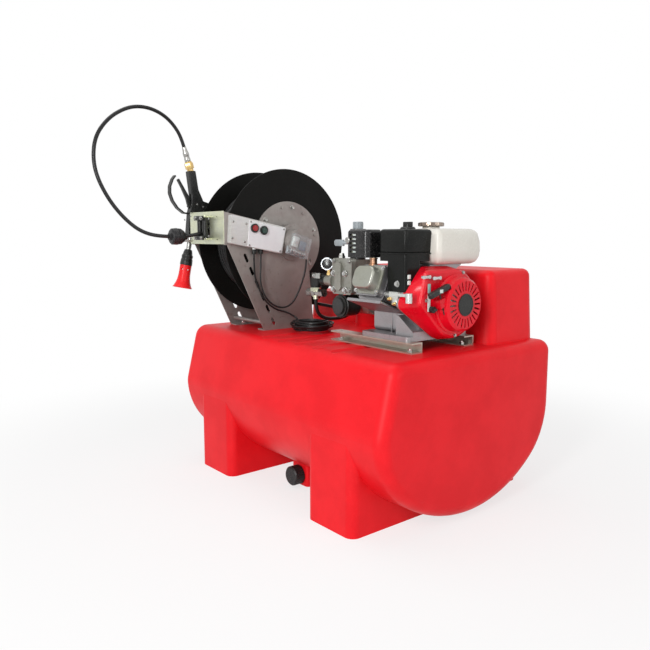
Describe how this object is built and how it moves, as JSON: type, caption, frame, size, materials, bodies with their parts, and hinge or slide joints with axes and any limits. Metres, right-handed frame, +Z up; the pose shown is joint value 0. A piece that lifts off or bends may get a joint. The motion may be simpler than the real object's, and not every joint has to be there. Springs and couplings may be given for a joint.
{
  "type": "skid-mounted orchard sprayer",
  "caption": "Moulded tank on a skid foot carrying a petrol engine and piston pump, a powered hose reel with roller guide and controls, and a spray gun on its hose",
  "frame": {"origin": "on the ground, under the middle of the part without its free hoses and cables", "axes": "X along the tank with the engine at +X, -Y the working side where the hose comes out, Z up"},
  "size_m": [1.034, 1.1013, 1.224],
  "materials": {
    "tank_red": "moulded polyethylene, slightly glossy",
    "black_plastic": "moulded, matt",
    "white_plastic": "moulded, glossy",
    "clear_plastic": "clear, with a sheen",
    "red_plastic": "moulded, glossy",
    "green_plastic": "moulded, glossy",
    "grey_plastic": "moulded, satin",
    "olive_paint": "sprayed, satin",
    "zinc_steel": "zinc plated, faintly yellow",
    "plate_steel": "grey powder coat, satin",
    "black_paint": "black powder coat, satin",
    "red_paint": "sprayed, glossy",
    "white_paint": "sprayed, glossy",
    "cast_aluminium": "as cast, fine grain",
    "bright_steel": "plated, bright",
    "rubber_black": "smooth hose rubber"
  },
  "bodies": {
    "frame": {"tank": "tank_red", "filler_basket": "black_plastic", "mounting_channels": "zinc_steel", "deck_bolts": "bright_steel", "crankcase": "cast_aluminium", "cylinder_head": "cast_aluminium", "rocker_cover": "cast_aluminium", "fan_shroud": "red_paint", "recoil_cover": "red_paint", "air_cleaner_base": "black_plastic", "air_cleaner_cover": "black_plastic", "fuel_tank": "white_paint", "muffler": "zinc_steel", "muffler_shield": "black_paint", "carburettor": "cast_aluminium", "pump_body": "olive_paint", "pump_head": "olive_paint", "pressure_gauge": "bright_steel", "air_chamber": "black_plastic", "pressure_control": "black_plastic", "outlet_valve": "black_plastic", "outlet_fitting": "zinc_steel", "supply_hose": "rubber_black", "reel_plate_near": "plate_steel", "reel_plate_far": "plate_steel", "inlet_swivel": "bright_steel", "reel_motor": "plate_steel", "roller_bracket": "zinc_steel", "control_box": "white_plastic", "relay_box": "clear_plastic", "cable_coil": "rubber_black", "control_cable": "rubber_black", "relay_cable": "rubber_black", "gun_body": "black_plastic", "gun_guard": "black_plastic", "lance": "bright_steel", "nozzle": "red_plastic", "hose_ferrule": "bright_steel", "spray_hose": "rubber_black", "ball_stop": "black_plastic"},
    "lid": {"filler_lid": "black_plastic"},
    "drain_cap": {"drain_cap": "black_plastic"},
    "crankshaft": {"crankshaft": "bright_steel"},
    "starter_grip": {"starter_grip": "black_plastic"},
    "fuel_cap": {"fuel_cap": "bright_steel"},
    "throttle_lever": {"throttle_lever": "bright_steel"},
    "choke_lever": {"choke_lever": "bright_steel"},
    "engine_switch": {"engine_switch": "black_plastic"},
    "pressure_knob": {"pressure_knob": "grey_plastic"},
    "bypass_tap": {"bypass_tap": "grey_plastic"},
    "reel": {"reel_drum": "black_paint", "reel_hubs": "plate_steel", "hose_winding": "rubber_black"},
    "roller_left": {"roller_left": "black_plastic"},
    "roller_right": {"roller_right": "black_plastic"},
    "roller_top": {"roller_top": "black_plastic"},
    "roller_bottom": {"roller_bottom": "black_plastic"},
    "button_wind_in": {"button_wind_in": "red_plastic"},
    "button_stop": {"button_stop": "green_plastic"},
    "trigger": {"gun_trigger": "black_plastic"}
  },
  "joints": [
    {"name": "lid_hinge", "type": "hinge", "parent": "frame", "child": "lid", "pos_m": [0.15, 0.339, 0.72], "axis": [-1, 0, 0], "range_deg": [0, 110]},
    {"name": "drain_cap_off", "type": "slide", "parent": "frame", "child": "drain_cap", "axis": [0, -1, 0], "range_m": [0, 0.2]},
    {"name": "crank_spin", "type": "hinge", "parent": "frame", "child": "crankshaft", "pos_m": [0.3, 0.006, 0.618], "axis": [1, 0, 0], "continuous": true},
    {"name": "starter_pull", "type": "slide", "parent": "frame", "child": "starter_grip", "axis": [0, -0.3256, 0.9455], "range_m": [0, 0.05], "stiffness_N_per_m": 120, "springref_m": -0.01},
    {"name": "fuel_cap_turn", "type": "hinge", "parent": "frame", "child": "fuel_cap", "pos_m": [0.339, 0.03, 0.84], "axis": [0, 0, 1], "continuous": true},
    {"name": "throttle_turn", "type": "hinge", "parent": "frame", "child": "throttle_lever", "pos_m": [0.456, -0.067, 0.694], "axis": [-1, 0, 0], "range_deg": [0, 35]},
    {"name": "choke_turn", "type": "hinge", "parent": "frame", "child": "choke_lever", "pos_m": [0.456, -0.109, 0.698], "axis": [1, 0, 0], "range_deg": [0, 35]},
    {"name": "switch_turn", "type": "hinge", "parent": "frame", "child": "engine_switch", "pos_m": [0.456, -0.095, 0.609], "axis": [1, 0, 0], "range_deg": [0, 60]},
    {"name": "pressure_knob_turn", "type": "hinge", "parent": "frame", "child": "pressure_knob", "pos_m": [0.127, -0.065, 0.828], "axis": [0, 0, 1], "range_deg": [-180, 180]},
    {"name": "bypass_turn", "type": "hinge", "parent": "frame", "child": "bypass_tap", "pos_m": [0.093, -0.065, 0.785], "axis": [1, 0, 0], "range_deg": [0, 90]},
    {"name": "reel_spin", "type": "hinge", "parent": "frame", "child": "reel", "pos_m": [-0.325, -0.067, 0.785], "axis": [1, 0, 0], "continuous": true},
    {"name": "roller_left_spin", "type": "hinge", "parent": "frame", "child": "roller_left", "pos_m": [-0.339, -0.353, 0.833], "axis": [0, 0, 1], "continuous": true},
    {"name": "roller_right_spin", "type": "hinge", "parent": "frame", "child": "roller_right", "pos_m": [-0.305, -0.353, 0.833], "axis": [0, 0, 1], "continuous": true},
    {"name": "roller_top_spin", "type": "hinge", "parent": "frame", "child": "roller_top", "pos_m": [-0.322, -0.319, 0.852], "axis": [1, 0, 0], "continuous": true},
    {"name": "roller_bottom_spin", "type": "hinge", "parent": "frame", "child": "roller_bottom", "pos_m": [-0.322, -0.319, 0.814], "axis": [1, 0, 0], "continuous": true},
    {"name": "wind_in_press", "type": "slide", "parent": "frame", "child": "button_wind_in", "axis": [-1, 0, 0], "range_m": [0, 0.002], "stiffness_N_per_m": 900, "springref_m": -0.001},
    {"name": "stop_press", "type": "slide", "parent": "frame", "child": "button_stop", "axis": [-1, 0, 0], "range_m": [0, 0.002], "stiffness_N_per_m": 900, "springref_m": -0.001},
    {"name": "trigger_pull", "type": "hinge", "parent": "frame", "child": "trigger", "pos_m": [-0.456, -0.329, 0.909], "axis": [-1, 0, 0], "range_deg": [0, 16], "stiffness_Nm_per_rad": 2, "springref_deg": -8.59}
  ]
}
